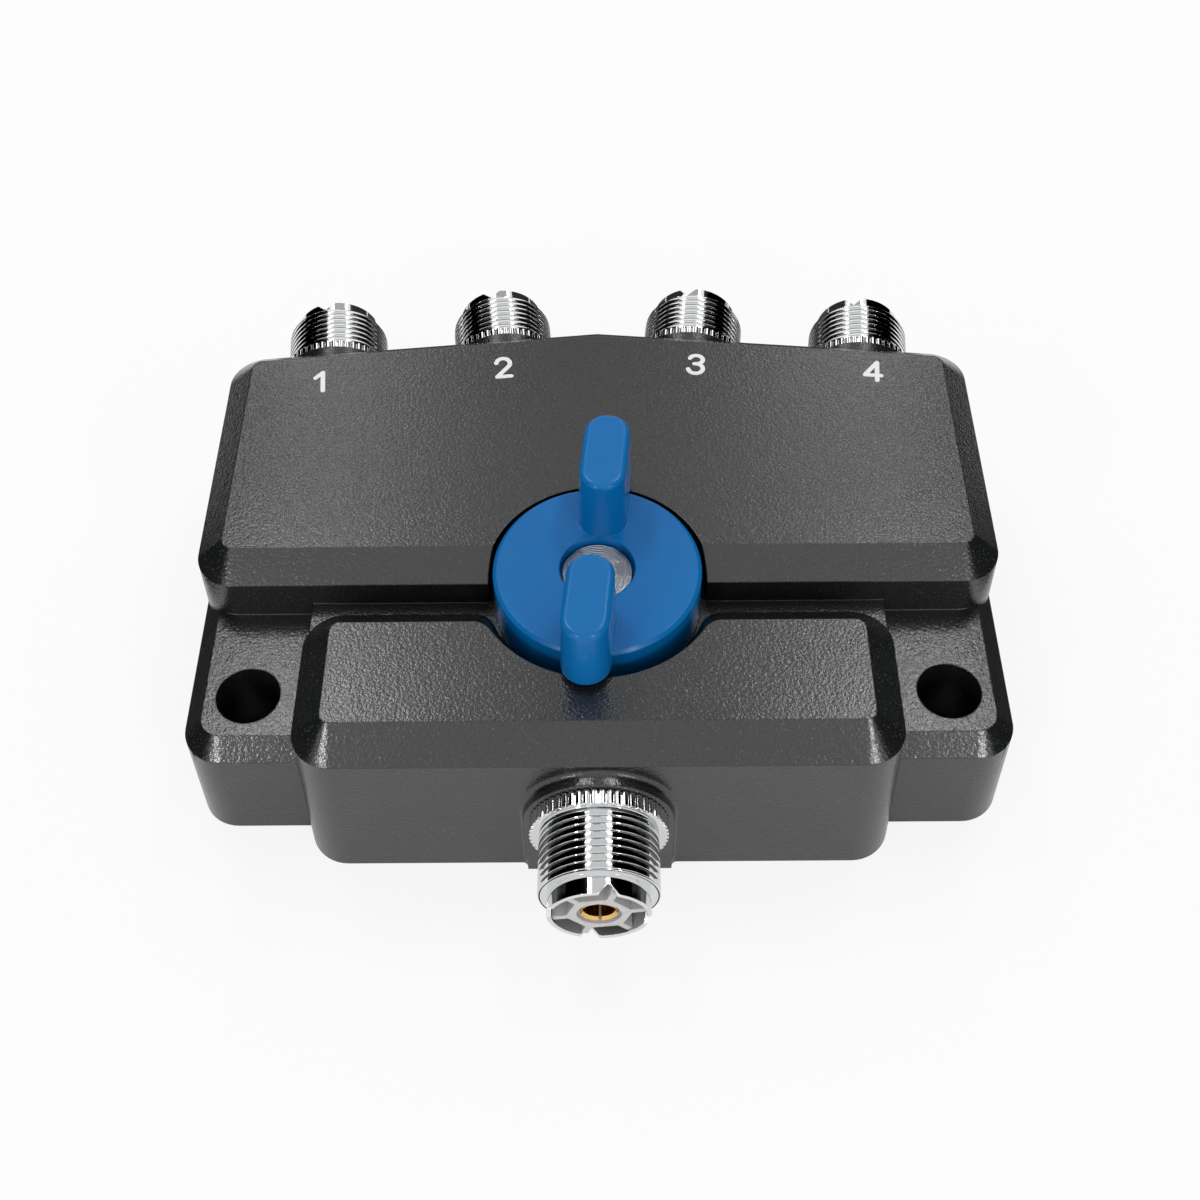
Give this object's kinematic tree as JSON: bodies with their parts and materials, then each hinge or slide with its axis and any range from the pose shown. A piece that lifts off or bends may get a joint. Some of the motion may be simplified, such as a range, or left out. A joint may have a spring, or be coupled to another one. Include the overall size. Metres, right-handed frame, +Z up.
{
  "type": "coaxial antenna switch",
  "caption": "Die-cast coaxial antenna switch: a blue winged knob in a round well joins the front feed socket to a row of rear antenna sockets.",
  "frame": {"origin": "where the axis of the knob meets the plane that the box stands on", "axes": "+X along the row of antenna sockets, from socket 1 to socket 4; +Y from the feed socket to the antenna sockets; +Z up, along the axis of the knob"},
  "size_m": [0.1132, 0.1087, 0.0407],
  "materials": {
    "housing_paint": "fine orange-peel charcoal paint on die-cast metal",
    "cover_paint": "the same paint on flat sheet",
    "screw_steel": "zinc-plated steel",
    "shaft_steel": "ground steel",
    "connector_nickel": "bright nickel plate",
    "insulator_plastic": "pale grey moulding",
    "contact_gilt": "gold flash",
    "nut_brass": "turned brass",
    "strip_metal": "silver-plated brass strip",
    "stator_board": "brown phenolic board",
    "rotor_plastic": "natural nylon",
    "knob_plastic": "blue, satin gloss"
  },
  "bodies": {
    "case": {"housing": "housing_paint", "bottom_cover": "cover_paint", "cover_screws": "screw_steel", "connector_nuts": "nut_brass", "common_strip": "strip_metal", "stator_plate": "stator_board", "stator_screws": "screw_steel", "contact_rivets": "nut_brass", "shaft_bushing": "nut_brass", "thrust_washer": "screw_steel", "detent_ball": "shaft_steel", "detent_spring": "shaft_steel", "connector_shell_common": "connector_nickel", "insulator_common": "insulator_plastic", "contact_common": "contact_gilt", "connector_shell_1": "connector_nickel", "insulator_1": "insulator_plastic", "contact_1": "contact_gilt", "output_strip_1": "strip_metal", "connector_shell_2": "connector_nickel", "insulator_2": "insulator_plastic", "contact_2": "contact_gilt", "output_strip_2": "strip_metal", "connector_shell_3": "connector_nickel", "insulator_3": "insulator_plastic", "contact_3": "contact_gilt", "output_strip_3": "strip_metal", "connector_shell_4": "connector_nickel", "insulator_4": "insulator_plastic", "contact_4": "contact_gilt", "output_strip_4": "strip_metal"},
    "rotor": {"knob": "knob_plastic", "knob_grub_screw": "screw_steel", "switch_shaft": "shaft_steel", "retaining_clip": "screw_steel", "detent_plate": "shaft_steel", "rotor_hub": "rotor_plastic", "rotor_blade_lower": "strip_metal", "rotor_blade_upper": "strip_metal", "rotor_button": "nut_brass"}
  },
  "joints": [
    {"name": "knob_turn", "type": "hinge", "parent": "case", "child": "rotor", "pos_m": [0, 0, 0.0291], "axis": [0, 0, 1], "range_deg": [-39.6, 50.4]}
  ]
}
